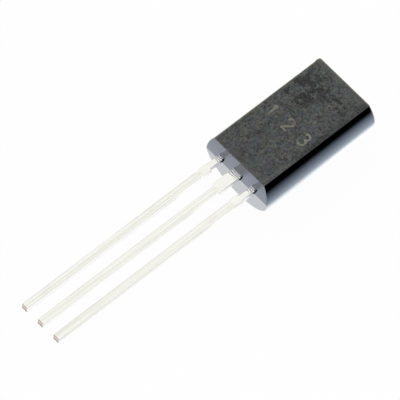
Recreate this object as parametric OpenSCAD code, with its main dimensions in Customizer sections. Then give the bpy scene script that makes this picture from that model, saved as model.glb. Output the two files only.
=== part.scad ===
// Long-body TO-92 transistor lying on its rounded back, flat face up.
// A D-shaped epoxy moulding closes round a stamped three-lead frame, the silicon chip and its bond wires.
// X runs across the leads, Y along them from the tips to the body, and Z out of the flat face.

/* [Moulded body] */
// Length of the body, end to end at the parting plane
body_len = 8.1; // [7.4:0.05:9]
// Diameter of the rounded back
body_d = 4.86; // [4.6:0.02:5.4]
// Height of the flat face above the parting plane
flat_h = 1.38; // [1.2:0.02:1.7]
// Radius along both long edges of the flat face
flat_edge_r = 0.08; // [0.04:0.01:0.2]
// Draft of the end faces on the flat side of the parting plane, in degrees
front_draft = 6; // [2:0.5:10]
// Draft of the end faces on the rounded side of the parting plane, in degrees
back_draft = 8.5; // [4:0.5:12]
// Diameter of the ejector-pin mark in the rounded back
ejector_d = 1.6; // [1:0.1:2]
// Depth of the ejector-pin mark where its rim is lowest
ejector_rim = 0.06; // [0.03:0.01:0.15]

/* [Leads] */
// Spacing between neighbouring leads
lead_pitch = 1.27; // [1.22:0.01:1.4]
// Length of the leads outside the body
lead_len = 14.3; // [10:0.1:18]
// Thickness of the stamped sheet
lead_t = 0.4; // [0.35:0.01:0.5]
// Width of a lead from the cut dam bar to its tip
lead_w = 0.42; // [0.36:0.01:0.5]
// Width of the outer leads between the body and the dam bar, from their outer edge
neck_w = 0.34; // [0.3:0.01:0.36]
// Width of the middle lead between the body and the dam bar
collector_w = 0.68; // [0.56:0.01:0.8]
// Width of the outer leads where the dam bar was cut from them
stub_w = 0.54; // [0.5:0.01:0.66]
// Distance from the body to the cut dam bar
dam_gap = 0.9; // [0.6:0.05:1.4]
// Width of the dam bar along the leads
dam_len = 0.6; // [0.3:0.05:0.8]

/* [Lead frame inside the body] */
// Distance from the lead end of the body to the bonding posts
post_inset = 0.7; // [0.5:0.05:1]
// Length of the bonding posts
post_len = 1.2; // [0.9:0.05:1.5]
// Gap stamped between the posts, the middle lead and the chip paddle
frame_gap = 0.3; // [0.2:0.01:0.4]
// Moulding compound left beside the chip paddle
side_cover = 0.7; // [0.5:0.05:1]
// Moulding compound left beyond the far end of the chip paddle
end_cover = 1.1; // [0.8:0.05:1.5]
// Corner radius of the posts and the chip paddle
frame_r = 0.18; // [0.1:0.01:0.25]
// Diameter of the hole that locks the paddle in the compound
lock_d = 0.9; // [0.6:0.05:1.2]

/* [Chip and bond wires] */
// Side of the square silicon chip
die_w = 1.1; // [0.8:0.05:1.4]
// Thickness of the silicon chip
die_t = 0.22; // [0.15:0.01:0.3]
// Thickness of the solder under the chip
attach_t = 0.03; // [0.02:0.005:0.05]
// Solder that shows round the foot of the chip
attach_rim = 0.06; // [0.02:0.01:0.12]
// Distance from the near edge of the paddle to the chip
die_inset = 0.4; // [0.3:0.05:0.8]
// Diameter of the bond wires
wire_d = 0.05; // [0.04:0.005:0.06]
// Diameter of the squashed ball that welds a wire to the chip
ball_d = 0.13; // [0.1:0.01:0.16]
// Thickness of the squashed ball
ball_t = 0.04; // [0.03:0.005:0.06]
// Straight rise of a wire above the chip
wire_rise = 0.1; // [0.06:0.01:0.2]
// Bend radius at the top of a wire, at its centre line
wire_bend_r = 0.12; // [0.08:0.01:0.2]
// Length of the flattened stitch that welds a wire to its post
stitch_len = 0.16; // [0.1:0.01:0.24]
// Thickness of the flattened stitch
stitch_t = 0.02; // [0.01:0.005:0.03]

/* [Hidden] */
$fn = 96;

// The moulding, in a frame with the parting plane at z = 0 and the lead end of the body at y = 0
body_r = body_d / 2;
front_set = flat_h * tan(front_draft);
back_set = body_r * tan(back_draft);
edge_x = sqrt(pow(body_r - flat_edge_r, 2) - pow(flat_h - flat_edge_r, 2));
edge_z = flat_h - flat_edge_r;
// Where the edge radius leaves the rounded back
roll_x = edge_x * body_r / (body_r - flat_edge_r);
roll_z = edge_z * body_r / (body_r - flat_edge_r);
// Floor of the ejector-pin mark, under the lowest part of its rim
ejector_z = -sqrt(pow(body_r, 2) - pow(ejector_d / 2, 2)) + ejector_rim;

// The lead frame, whose sheet lies on the parting plane
dam_end = dam_gap + dam_len;
post_w = 2 * (lead_pitch - collector_w / 2 - frame_gap);
post_end = post_inset + post_len;
paddle_y = post_end + frame_gap;
paddle_w = body_d - 2 * side_cover;
paddle_len = body_len - end_cover - paddle_y;
// The locking hole stands midway between the chip and the far end of the paddle
die_y = paddle_y + die_inset + die_w / 2;
lock_y = (die_y + die_w / 2 + paddle_y + paddle_len) / 2;

// The chip stack and the places where the wires are welded
attach_z = lead_t;
die_z = attach_z + attach_t;
die_top = die_z + die_t;
emitter_pad = [-0.2 * die_w, die_y - 0.1 * die_w];
base_pad = [0.28 * die_w, die_y - 0.28 * die_w];
post_mid = post_inset + post_len / 2;
emitter_post = [-lead_pitch, post_mid];
base_post = [lead_pitch, post_mid];

// Lift from the parting-plane frame to the part's own: centred on its length, with the back on z = 0
length_shift = (lead_len - body_len) / 2;
// Overshoot of a cutting solid past the face it cuts
over = 1;
// How much thinner the bend of a wire is than its straights, and how far it laps into them, in degrees
hair = 0.002;
bend_lap = 3;

module placed() translate([0, length_shift, body_r]) children();

// ---- Moulded body ----

// Round back cut off by the flat, with both long edges of the flat rolled over
module d_section() {
    intersection() {
        circle(d = body_d);
        translate([-body_r, -body_r]) square([body_d, body_r + roll_z]);
    }
    polygon([[-roll_x, roll_z], [roll_x, roll_z], [edge_x, flat_h], [-edge_x, flat_h]]);
    for (side = [-1, 1]) translate([side * edge_x, edge_z]) circle(r = flat_edge_r, $fn = 48);
}

// The two mould halves draw apart from the parting plane, so each end leans in on both sides of it
module drafted_profile() polygon([
    [0, 0],
    [front_set, flat_h],
    [body_len - front_set, flat_h],
    [body_len, 0],
    [body_len - back_set, -body_r],
    [back_set, -body_r],
]);

module moulding() {
    difference() {
        intersection() {
            translate([0, body_len, 0]) rotate([90, 0, 0]) linear_extrude(body_len) d_section();
            rotate([90, 0, 90]) translate([0, 0, -body_r]) linear_extrude(body_d) drafted_profile();
        }
        translate([0, body_len / 2, ejector_z - over]) cylinder(d = ejector_d, h = over);
    }
}

module body() color([0.17, 0.17, 0.17]) placed() difference() {
    moulding();
    side_lead(-1);
    side_lead(1);
    middle_lead();
    chip_solder();
    chip();
    wire(emitter_pad, emitter_post);
    wire(base_pad, base_post);
}

// ---- Stamped lead frame ----

module stamped() linear_extrude(lead_t) children();

// A strip of the frame from y = from to y = to, centred on the lead
module strip(width, from, to) translate([-width / 2, from]) square([width, to - from]);

module rounded_plate(width, from, to) {
    for (x = [-1, 1], y = [from + frame_r, to - frame_r])
        translate([x * (width / 2 - frame_r), y]) circle(r = frame_r, $fn = 48);
    strip(width - 2 * frame_r, from, to);
    strip(width, from + frame_r, to - frame_r);
}

module side_lead(side) translate([side * lead_pitch, 0, 0]) stamped() {
    strip(lead_w, -lead_len, -dam_end);
    strip(stub_w, -dam_end, -dam_gap);
    translate([side * (lead_w - neck_w) / 2, 0]) strip(neck_w, -dam_gap, post_inset + frame_r);
    rounded_plate(post_w, post_inset, post_end);
}

module middle_lead() stamped() difference() {
    union() {
        strip(lead_w, -lead_len, -dam_end);
        strip(collector_w, -dam_end, paddle_y + frame_r);
        rounded_plate(paddle_w, paddle_y, paddle_y + paddle_len);
    }
    translate([0, lock_y]) circle(d = lock_d);
}

module lead_emitter() color([0.86, 0.86, 0.83]) placed() side_lead(-1);
module lead_collector() color([0.86, 0.86, 0.83]) placed() middle_lead();
module lead_base() color([0.86, 0.86, 0.83]) placed() side_lead(1);

// ---- Chip ----

module on_paddle(width, z, thickness)
    translate([-width / 2, die_y - width / 2, z]) cube([width, width, thickness]);

module chip_solder() on_paddle(die_w + 2 * attach_rim, attach_z, attach_t);
module chip() on_paddle(die_w, die_z, die_t);

module die_attach() color([0.62, 0.63, 0.64]) placed() chip_solder();
module die() color([0.33, 0.35, 0.39]) placed() chip();

// ---- Bond wires ----

// A wire from the chip at the origin: up, over one bend and straight down to the post at x = run, z = -drop.
// The straight is the tangent from the post to the bend. The bend is a hair thinner than the straights
// and laps into both of them, so that the three fuse.
module wire_path(run, drop) {
    rise = ball_t + wire_rise;
    reach = norm([run - wire_bend_r, rise + drop]);
    slope = atan2(rise + drop, run - wire_bend_r) + asin(wire_bend_r / reach);
    straight = sqrt(pow(reach, 2) - pow(wire_bend_r, 2));
    cylinder(d = ball_d, h = ball_t, $fn = 32);
    cylinder(d = wire_d, h = rise, $fn = 32);
    translate([wire_bend_r, 0, rise]) rotate([90, 0, 0]) rotate([0, 0, 90 - slope - bend_lap])
        rotate_extrude(angle = 90 + slope + 2 * bend_lap)
            translate([wire_bend_r, 0]) circle(d = wire_d - hair, $fn = 32);
    translate([run, 0, -drop]) rotate([0, slope - 90, 0])
        translate([0, 0, -wire_d]) cylinder(d = wire_d, h = straight + wire_d, $fn = 32);
    translate([run, 0, -drop]) cylinder(d = stitch_len, h = stitch_t, $fn = 32);
}

module wire(pad, post) {
    run = norm(post - pad);
    heading = atan2(post[1] - pad[1], post[0] - pad[0]);
    drop = die_top - lead_t;
    translate([pad[0], pad[1], die_top]) rotate([0, 0, heading]) difference() {
        wire_path(run, drop);
        // The tail ends flush on the post
        translate([run - over / 2, -over / 2, -drop - over]) cube(over);
    }
}

module bond_wire_emitter() color([0.85, 0.66, 0.28]) placed() wire(emitter_pad, emitter_post);
module bond_wire_base() color([0.85, 0.66, 0.28]) placed() wire(base_pad, base_post);

body();
lead_emitter();
lead_collector();
lead_base();
die_attach();
die();
bond_wire_emitter();
bond_wire_base();
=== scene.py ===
import math

import bmesh
import bpy
from bpy.props import FloatProperty, FloatVectorProperty, IntProperty, PointerProperty
from mathutils import Matrix, Vector, noise


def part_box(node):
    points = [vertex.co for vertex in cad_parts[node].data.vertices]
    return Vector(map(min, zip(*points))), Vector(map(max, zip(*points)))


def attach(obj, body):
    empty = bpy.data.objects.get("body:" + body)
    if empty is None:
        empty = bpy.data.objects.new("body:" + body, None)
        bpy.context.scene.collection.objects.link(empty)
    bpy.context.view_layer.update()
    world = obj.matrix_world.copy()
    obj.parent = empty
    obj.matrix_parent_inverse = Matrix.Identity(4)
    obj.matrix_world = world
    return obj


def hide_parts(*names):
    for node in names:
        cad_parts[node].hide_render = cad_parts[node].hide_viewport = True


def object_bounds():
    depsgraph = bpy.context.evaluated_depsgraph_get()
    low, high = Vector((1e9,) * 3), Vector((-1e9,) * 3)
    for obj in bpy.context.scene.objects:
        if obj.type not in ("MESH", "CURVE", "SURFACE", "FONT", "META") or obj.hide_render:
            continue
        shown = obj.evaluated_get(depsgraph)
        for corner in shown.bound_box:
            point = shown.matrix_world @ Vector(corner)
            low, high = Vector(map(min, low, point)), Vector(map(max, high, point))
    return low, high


bl_info = {
    "name": "Three-lead transistor dressing",
    "version": (1, 0, 0),
    "blender": (4, 5, 0),
    "location": "3D View > Sidebar > Transistor",
    "description": "Dresses the packed transistor: moulding, leads, pin numbers, chip and a small studio",
    "category": "Add Mesh",
}

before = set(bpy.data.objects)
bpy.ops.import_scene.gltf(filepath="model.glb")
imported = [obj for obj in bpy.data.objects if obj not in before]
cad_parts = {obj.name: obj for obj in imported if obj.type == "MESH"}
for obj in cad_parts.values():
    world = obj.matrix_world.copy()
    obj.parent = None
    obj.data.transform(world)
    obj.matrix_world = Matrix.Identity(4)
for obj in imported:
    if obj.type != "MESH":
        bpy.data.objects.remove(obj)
CAD_LOW, CAD_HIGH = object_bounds()
BODY_LOW, BODY_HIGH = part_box("body")
SIDE_LOW, SIDE_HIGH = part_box("lead_base")
PADDLE_LOW, PADDLE_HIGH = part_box("lead_collector")

MM = 0.001
BACK_RADIUS = BODY_HIGH.x
# The sheet of the lead frame lies on the parting plane, at the middle of the rounded back
PARTING_Z = BODY_LOW.z + BACK_RADIUS
MIDDLE_Y = (BODY_LOW.y + BODY_HIGH.y) / 2
LEAD_PITCH = (SIDE_LOW.x + SIDE_HIGH.x) / 2
LEAD_SIDES = {"lead_emitter": -1, "lead_collector": 0, "lead_base": 1}
# The stamped frame inside the body: corners, near ends of the posts and of the chip paddle, and locking hole
FRAME_CORNER = 0.18 * MM
POST_START, PADDLE_START = 0.7 * MM, 2.2 * MM
LOCK_RADIUS = 0.45 * MM
# Directions from the part to the softbox, to the dark gap in the light tent and to the tent's open door
LAMP_TOWARD = Vector((-0.10, 0.12, 1.0)).normalized()
GAP_TOWARD = Vector((0.93, 0.37, 0.0)).normalized()
DOOR_TOWARD = Vector((-0.36, -0.78, 0.50)).normalized()
WHITE = (1, 1, 1, 1)


# ---- Sizes and colours a user would change ----

def length(name, description, default, **limits):
    return FloatProperty(name=name, description=description, default=default, subtype="DISTANCE",
                         unit="LENGTH", precision=6, **limits)


def angle(name, description, degrees):
    return FloatProperty(name=name, description=description, default=math.radians(degrees), subtype="ANGLE")


def paint(name, description, default):
    return FloatVectorProperty(name=name, description=description, default=default, size=3, min=0, max=1,
                               subtype="COLOR")


class MouldingSettings(bpy.types.PropertyGroup):
    """Shape and colour of the epoxy moulding"""

    flat_edge_radius: length("Flat edge radius", "Radius along both long edges of the flat face", 0.08 * MM,
                             min=0.06 * MM, max=0.2 * MM)
    near_edge_radius: length("Near edge radius", "Radius round the end that the leads come out of", 0.02 * MM,
                             min=0.01 * MM, max=0.07 * MM)
    far_edge_radius: length("Far edge radius", "Radius round the far end of the moulding", 0.16 * MM,
                            min=0.01 * MM, max=0.4 * MM)
    front_draft: angle("Front draft", "Lean of the ends on the flat side of the parting plane", 6)
    back_draft: angle("Back draft", "Lean of the ends on the rounded side of the parting plane", 8.5)
    flat_drop: length("Flat drop", "How far the flat face lies below its burnt numbers", 0.003 * MM,
                      min=0, max=0.01 * MM)
    flash_height: length("Flash height", "How far the witness of the parting line stands out", 0.003 * MM,
                         min=0, max=0.02 * MM)
    pin_mark_diameter: length("Pin mark diameter", "Diameter of the ejector-pin mark in the rounded back",
                              1.6 * MM)
    pin_mark_depth: length("Pin mark depth", "Depth of the ejector-pin mark below the lowest part of its rim",
                           0.06 * MM)
    flat_colour: paint("Flat colour", "Colour of the spark-eroded flat face", (0.0408, 0.0455, 0.0445))
    speck_colour: paint("Speck colour", "Colour of the filler that shows in the flat face",
                        (0.085, 0.084, 0.072))
    gloss_colour: paint("Gloss colour", "Colour of the polished back and ends", (0.0022, 0.0024, 0.0028))
    polish_tint: paint("Polish tint", "Tint of what the polished back mirrors when it is seen at a slant",
                       (0.15, 0.17, 0.21))
    edge_on_tint: paint("Edge-on tint", "Tint of what the polished back mirrors when it is seen edge on",
                        (0.75, 0.85, 0.95))
    satin_tint: paint("Satin tint", "Tint of what the satin ends mirror", (0.12, 0.145, 0.20))


class LeadSettings(bpy.types.PropertyGroup):
    """Shape and colour of the dipped leads"""

    lead_width: length("Lead width", "Width of a lead from the cut dam bar to its tip", 0.42 * MM)
    neck_width: length("Neck width", "Width of the outer leads beside the body, from their outer edge",
                       0.34 * MM)
    middle_width: length("Middle lead width", "Width of the middle lead beside the body", 0.68 * MM)
    stub_width: length("Stub width", "Width of the outer leads where the dam bar was cut", 0.54 * MM)
    dam_gap: length("Dam gap", "Distance from the body to the cut dam bar", 0.9 * MM)
    dam_length: length("Dam length", "Width of the dam bar along the leads", 0.6 * MM)
    shoulder: length("Shoulder", "Length over which the solder rounds each change of width", 0.11 * MM)
    nick: length("Nick", "Depth of the punch's nick on the middle lead, twice that on the others", 0.045 * MM)
    dip_start: length("Dip start", "Distance from the body to the line where the thick dip coat begins",
                      1.68 * MM)
    dip_thickness: length("Dip thickness", "Thickness that the dip coat adds in the middle of each side",
                          0.012 * MM, min=0, max=0.03 * MM)
    # The rest of the flash is also a dark piece of painted shade in the corner beside a lead
    flash_rest: length("Flash rest", "Thickness of the flash left in the corner beside a lead", 0.042 * MM)
    flash_reach: length("Flash reach", "How far the rest of the flash reaches along a lead", 0.12 * MM)
    tin_colour: paint("Tin colour", "Colour of the bright tin", (0.945, 0.94, 0.90))
    streak_colour: paint("Streak colour", "Colour of the drawn streaks in the tin", (0.80, 0.79, 0.70))
    # The side colour is partly the coat's own colour and partly painted light on the sides
    side_coat_and_light_colour: paint("Side colour", "Colour of the tin on the stamped sides", (0.945, 0.95, 0.94))
    copper_colour: paint("Copper colour", "Colour of the copper bared at the tips", (0.76, 0.57, 0.52))


class NumberSettings(bpy.types.PropertyGroup):
    """Size and colour of the pin numbers"""

    height: length("Height", "Height of a pin number", 0.78 * MM)
    stroke: length("Stroke", "Width of a stroke", 0.125 * MM)
    depth: length("Depth", "How far the burnt layer reaches below its own surface", 0.012 * MM)
    colour: paint("Colour", "Colour of the burnt epoxy", (0.215, 0.208, 0.162))


class StudioSettings(bpy.types.PropertyGroup):
    """Camera, lamp and floor"""

    camera_distance: length("Camera distance", "Distance from the camera to the moulding", 0.9)
    camera_azimuth: angle("Camera azimuth", "Direction of the camera round the part, from the X axis", -45.75)
    camera_elevation: angle("Camera elevation", "Height of the camera above the floor, as an angle", 59.4)
    camera_roll: angle("Camera roll", "Tilt of the picture about the line of sight", 4.21)
    picture_right: length("Picture right", "How far the body's lead end lies right of the picture's middle",
                          1.969 * MM)
    picture_up: length("Picture up", "How far the body's lead end lies above the picture's middle", 1.281 * MM)
    view_width: length("View width", "Width that the camera sees at the moulding", 21.716 * MM)
    lamp_radiance: FloatProperty(
        name="Lamp level", description="Brightness of the overhead softbox, where 1 shows as white",
        default=1.0, min=0, max=2)
    lamp_diameter: length("Lamp diameter", "Diameter of the softbox", 0.56)
    lamp_distance: length("Lamp distance", "Distance from the softbox to the moulding", 0.36)
    ambient: FloatProperty(
        name="Ambient level", description="Light that reaches dull surfaces from all round",
        default=0.5, min=0, max=1)
    floor_colour: paint("Floor colour", "Colour of the plain floor", (0.9, 0.9, 0.9))
    segments: IntProperty(
        name="Round segments", description="Segments in the rounded back", default=192, min=48, max=512)


# ---- Mesh helpers ----

def ease(value, low, high):
    """0 below low, 1 above high and a smooth step between them."""
    t = min(1.0, max(0.0, (value - low) / (high - low)))
    return t * t * (3 - 2 * t)


def bell(offset, spread):
    """1 at no offset, falling off on both sides."""
    return math.exp(-(offset / spread) ** 2)


def linked_object(name, data, *materials):
    piece = bpy.data.objects.new(name, data)
    bpy.context.scene.collection.objects.link(piece)
    for material in materials:
        data.materials.append(material)
    return piece


def middle_of(ring):
    return sum(ring, Vector()) / len(ring)


def join_rings(made, ring, following):
    """Quads between two closed rings of vertices."""
    for i, vertex in enumerate(ring):
        j = (i + 1) % len(ring)
        made.faces.new((vertex, ring[j], following[j], following[i]))


def finished_mesh(name, made):
    bmesh.ops.recalc_face_normals(made, faces=made.faces)
    mesh = bpy.data.meshes.new(name)
    made.to_mesh(mesh)
    made.free()
    return mesh


def add_skin(made, rings, start=None, end=None):
    """Faces over closed rings of equally many points, shut with a fan to the start and to the end point."""
    rows = [[made.verts.new(point) for point in ring] for ring in rings]
    for row, following in zip(rows, rows[1:]):
        join_rings(made, row, following)
    for point, row in ((start, rows[0]), (end, rows[-1])):
        if point is not None:
            middle = made.verts.new(point)
            for i, vertex in enumerate(row):
                made.faces.new((vertex, row[(i + 1) % len(row)], middle))


def skin(name, rings, start=None, end=None):
    made = bmesh.new()
    add_skin(made, rings, start, end)
    return finished_mesh(name, made)


def smooth_by_angle(mesh, degrees):
    mesh.shade_smooth()
    mesh.set_sharp_from_angle(angle=math.radians(degrees))


def cut_away(piece, cutter):
    """Subtracts cutter from piece, applies the result and removes cutter."""
    cut = piece.modifiers.new("cut", "BOOLEAN")
    cut.operation, cut.solver, cut.object = "DIFFERENCE", "EXACT", cutter
    graph = bpy.context.evaluated_depsgraph_get()
    whole = bpy.data.meshes.new_from_object(piece.evaluated_get(graph), preserve_all_data_layers=True,
                                            depsgraph=graph)
    piece.modifiers.clear()
    old, piece.data = piece.data, whole
    bpy.data.meshes.remove(old)
    bpy.data.objects.remove(cutter, do_unlink=True)


def upright_disc(name, centre, radius, low, high, segments):
    """A round cutter that stands on the Z axis."""
    turns = [2 * math.pi * i / segments for i in range(segments)]
    rings = [[Vector((centre.x + radius * math.cos(a), centre.y + radius * math.sin(a), z)) for a in turns]
             for z in (low, high)]
    return linked_object(name, skin(name, rings, middle_of(rings[0]), middle_of(rings[1])))


# ---- Shader helpers ----

class Board:
    """A node tree that is filled one node at a time."""

    def __init__(self, tree):
        self.tree = tree
        tree.nodes.clear()

    def node(self, kind, inputs=None, **settings):
        made = self.tree.nodes.new(kind)
        for key, value in settings.items():
            setattr(made, key, value)
        for key, value in (inputs or {}).items():
            self.feed(made.inputs[key], value)
        return made

    def feed(self, socket, value):
        if isinstance(value, bpy.types.NodeSocket):
            self.tree.links.new(value, socket)
        else:
            socket.default_value = value

    def maths(self, operation, *values, clamp=False):
        made = self.node("ShaderNodeMath", operation=operation, use_clamp=clamp)
        for socket, value in zip(made.inputs, values):
            self.feed(socket, value)
        return made.outputs[0]

    def add(self, first, second):
        return self.maths("ADD", first, second)

    def subtract(self, first, second):
        return self.maths("SUBTRACT", first, second)

    def multiply(self, first, second):
        return self.maths("MULTIPLY", first, second)

    def multiply_add(self, value, factor, added):
        return self.maths("MULTIPLY_ADD", value, factor, added)

    def maximum(self, first, second):
        return self.maths("MAXIMUM", first, second)

    def absolute(self, value):
        return self.maths("ABSOLUTE", value)

    def vector(self, operation, *values):
        made = self.node("ShaderNodeVectorMath", operation=operation)
        for socket, value in zip(made.inputs, values):
            self.feed(socket, value)
        return made.outputs["Value"] if operation in ("LENGTH", "DOT_PRODUCT") else made.outputs["Vector"]

    def split(self, vector):
        return self.node("ShaderNodeSeparateXYZ", {"Vector": vector}).outputs

    def join(self, x, y, z):
        return self.node("ShaderNodeCombineXYZ", {"X": x, "Y": y, "Z": z}).outputs[0]

    def normal(self):
        """X, Y and Z of the surface's normal."""
        return self.split(self.node("ShaderNodeNewGeometry").outputs["Normal"])

    def linear(self, value, low, high):
        """Straight step of value from low..high to 0..1."""
        return self.node("ShaderNodeMapRange", {
            "Value": value, "From Min": low, "From Max": high}).outputs["Result"]

    def ramp(self, value, low, high, out_low=0.0, out_high=1.0):
        """Smooth step of value from low..high to out_low..out_high."""
        return self.node("ShaderNodeMapRange", {
            "Value": value, "From Min": low, "From Max": high, "To Min": out_low, "To Max": out_high,
        }, interpolation_type="SMOOTHSTEP").outputs["Result"]

    def blend(self, share, first, second):
        """A colour between two colours."""
        made = self.node("ShaderNodeMix", data_type="RGBA", clamp_factor=True)
        self.feed(made.inputs["Factor"], share)
        self.feed(made.inputs[6], first)
        self.feed(made.inputs[7], second)
        return made.outputs[2]

    def shader_blend(self, share, first, second):
        return self.node("ShaderNodeMixShader", {"Fac": share, 1: first, 2: second}).outputs[0]

    def noise(self, vector, scale, detail=3.0, roughness=0.5):
        return self.node("ShaderNodeTexNoise", {
            "Vector": vector, "Scale": scale, "Detail": detail, "Roughness": roughness}).outputs[0]


def rgba(colour, share=1.0):
    """A share of a colour, as a socket takes it."""
    return (*(share * c for c in colour), 1.0)


def shade_group(name, inputs, outputs):
    """A new node group that takes a vector and named numbers: group, board, its inputs and its outputs."""
    group = bpy.data.node_groups.new(name, "ShaderNodeTree")
    group.interface.new_socket("Vector", in_out="INPUT", socket_type="NodeSocketVector")
    for label, value in inputs.items():
        group.interface.new_socket(label, in_out="INPUT", socket_type="NodeSocketFloat").default_value = value
    for label in outputs:
        group.interface.new_socket(label, in_out="OUTPUT", socket_type="NodeSocketFloat")
    board = Board(group)
    return group, board, board.node("NodeGroupInput").outputs, board.node("NodeGroupOutput").inputs


def filled_epoxy_group():
    """Grain, mottle, warm and cool filler, specks, soft blotches and fine relief of filled epoxy."""
    group, board, taken, given = shade_group(
        "Filled epoxy", {"Grain Scale": 8600.0, "Mottle Scale": 2600.0, "Blotch Scale": 1100.0},
        ("Grain", "Mottle", "Hue", "Tinge", "Specks", "Blotches", "Height"))
    place, fine = taken["Vector"], taken["Grain Scale"]
    coarse = board.multiply(fine, 0.28)
    grain = board.noise(place, fine, 3.0, 0.6)
    mottle = board.noise(place, taken["Mottle Scale"], 3.0, 0.55)
    blotches = board.noise(place, taken["Blotch Scale"], 2.0, 0.45)
    # These three are shifted, so that none of them repeats the grain or another
    hue = board.noise(board.vector("ADD", place, (0.31, 0.17, 0.05)), coarse, 3.0, 0.65)
    tinge = board.noise(board.vector("ADD", place, (0.13, 0.29, 0.41)), coarse, 3.0, 0.6)
    specks = board.noise(board.vector("ADD", place, (0.07, 0.43, 0.11)), fine, 1.0, 0.4)
    board.feed(given["Grain"], board.linear(grain, 0.32, 0.68))
    board.feed(given["Mottle"], board.ramp(mottle, 0.30, 0.70))
    board.feed(given["Hue"], board.ramp(hue, 0.36, 0.64))
    board.feed(given["Tinge"], board.ramp(tinge, 0.36, 0.64))
    board.feed(given["Specks"], board.ramp(specks, 0.62, 0.76))
    board.feed(given["Blotches"], board.ramp(blotches, 0.44, 0.66))
    board.feed(given["Height"], board.multiply_add(grain, 0.6, board.multiply(mottle, 0.4)))
    return group


def run_streaks_group():
    """Long streaks that run along Y, with their relief, as on drawn, rolled or dipped metal."""
    group, board, taken, given = shade_group(
        "Run streaks", {"Across": 9000.0, "Along": 260.0, "Sharpness": 0.12}, ("Streaks", "Stain", "Height"))
    scale = board.join(taken["Across"], taken["Along"], taken["Across"])
    stretched = board.vector("MULTIPLY", taken["Vector"], scale)
    wide = board.noise(stretched, 1.0, 2.0, 0.5)
    fine = board.noise(stretched, 3.1, 2.0, 0.55)
    middle = 0.55
    low = board.subtract(middle, taken["Sharpness"])
    high = board.add(middle, taken["Sharpness"])
    board.feed(given["Streaks"], board.linear(wide, low, high))
    board.feed(given["Stain"], board.ramp(board.noise(taken["Vector"], 900.0, 3.0, 0.6), 0.5, 0.75))
    board.feed(given["Height"], board.multiply_add(fine, 0.35, board.multiply(wide, 0.65)))
    return group


def rubbed_edge_group():
    """1 on the two long edges that lie Half Width from the middle of the part, with a worn, broken line."""
    group, board, taken, given = shade_group(
        "Rubbed long edges", {"Half Width": 0.002, "Band": 0.0001}, ("Wear",))
    across = board.absolute(board.split(taken["Vector"])["X"])
    off = board.absolute(board.subtract(across, taken["Half Width"]))
    near = board.maths("SUBTRACT", 1.0, board.maths("DIVIDE", off, taken["Band"], clamp=True), clamp=True)
    broken = board.ramp(board.noise(taken["Vector"], 1500.0, 4.0, 0.7), 0.3, 0.7, 0.35, 1.0)
    board.feed(given["Wear"], board.multiply(near, broken))
    return group


def effect(board, name, maker, values):
    """The outputs of the named node group, which is made once and placed with its own values."""
    placed = board.node("ShaderNodeGroup", node_tree=bpy.data.node_groups.get(name) or maker())
    for label, value in values.items():
        board.feed(placed.inputs[label], value)
    return placed.outputs


def filled_epoxy(board, vector, grain, mottle, blotch=1100.0):
    return effect(board, "Filled epoxy", filled_epoxy_group, {
        "Vector": vector, "Grain Scale": grain, "Mottle Scale": mottle, "Blotch Scale": blotch})


def run_streaks(board, vector, across, along, sharpness=0.12):
    return effect(board, "Run streaks", run_streaks_group, {
        "Vector": vector, "Across": across, "Along": along, "Sharpness": sharpness})


def rubbed_edges(board, vector, half_width, band):
    """How worn each place is that lies within band of either long edge."""
    return effect(board, "Rubbed long edges", rubbed_edge_group, {
        "Vector": vector, "Half Width": half_width, "Band": band})["Wear"]


def new_material(name):
    """A material, its board, the place on the object and the sockets of its shader."""
    material = bpy.data.materials.new(name)
    material.use_nodes = True
    board = Board(material.node_tree)
    place = board.node("ShaderNodeTexCoord").outputs["Object"]
    shader = board.node("ShaderNodeBsdfPrincipled")
    board.node("ShaderNodeOutputMaterial", {"Surface": shader.outputs[0]})
    return material, board, place, shader.inputs


def relief(board, sockets, height, distance, strength=1.0):
    bump = board.node("ShaderNodeBump", {"Height": height, "Distance": distance, "Strength": strength})
    board.feed(sockets["Normal"], bump.outputs["Normal"])


# ---- Moulding ----

# Colours of the filler grains, as shares of the flat's own colour
COOL_VIOLET, COOL_GREEN = (1.80, 1.84, 2.45), (1.72, 2.40, 2.30)
WARM_VIOLET, WARM_GREEN = (2.66, 1.99, 1.98), (2.52, 2.56, 1.84)
# Resin bared by wear along an edge, rubbed pale at the ends, with a painted highlight on the far roll-over as
# well, and rubbed dull on the gloss
OLIVE = (0.135, 0.132, 0.068)
PALE_WEAR_AND_HIGHLIGHT = (0.168, 0.165, 0.122)
RUBBED_DULL = (0.05, 0.055, 0.065)
# Dark clouds in the flat: middle across and along from the lead end, and half width and half length
CLOUD = (-1.05 * MM, 5.9 * MM, 1.0 * MM, 1.25 * MM)
BAND = (-0.2 * MM, 6.5 * MM, 1.9 * MM, 0.45 * MM)
# Finishes of the moulding, in the order of its materials
ROUND, END, FLAT = 0, 1, 2
# Angle from the parting line over which the round draws back to it
DRAW_BACK = math.radians(12)


def flat_half_width(settings):
    """Half the width of the plane part of the flat face."""
    edge = settings.flat_edge_radius
    rise = BODY_HIGH.z - PARTING_Z - edge
    return math.sqrt((BACK_RADIUS - edge) ** 2 - rise ** 2)


def tinted(colour, shares):
    return rgba([c * share for c, share in zip(colour, shares)])


def oval(board, across, along, place):
    """Squared distance from the middle of an oval, 1 on its outline."""
    middle_x, middle_y, half_x, half_y = place
    x = board.maths("DIVIDE", board.subtract(across, middle_x), half_x)
    y = board.maths("DIVIDE", board.subtract(along, middle_y), half_y)
    return board.add(board.multiply(x, x), board.multiply(y, y))


def dark_clouds(board, body, across, along, right_edge_shade):
    """Clouds of dark resin towards the far end, away from the gate, and painted shade along the flat's right
    long edge.
    """
    spread = board.maths("MINIMUM", oval(board, across, along, CLOUD), oval(board, across, along, BAND))
    spread = board.multiply_add(body["Blotches"], -0.5, spread)
    patches = board.ramp(body["Mottle"], 0.62, 0.36, 0.12, 1.0)
    cloud = board.multiply(board.ramp(spread, 1.5, 0.2, 0.0, 0.85), patches)
    cloud = board.maximum(cloud, board.multiply(body["Blotches"], 0.2))
    # The right long edge takes painted shade
    return board.maximum(cloud, board.multiply(right_edge_shade, 0.6))


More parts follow.
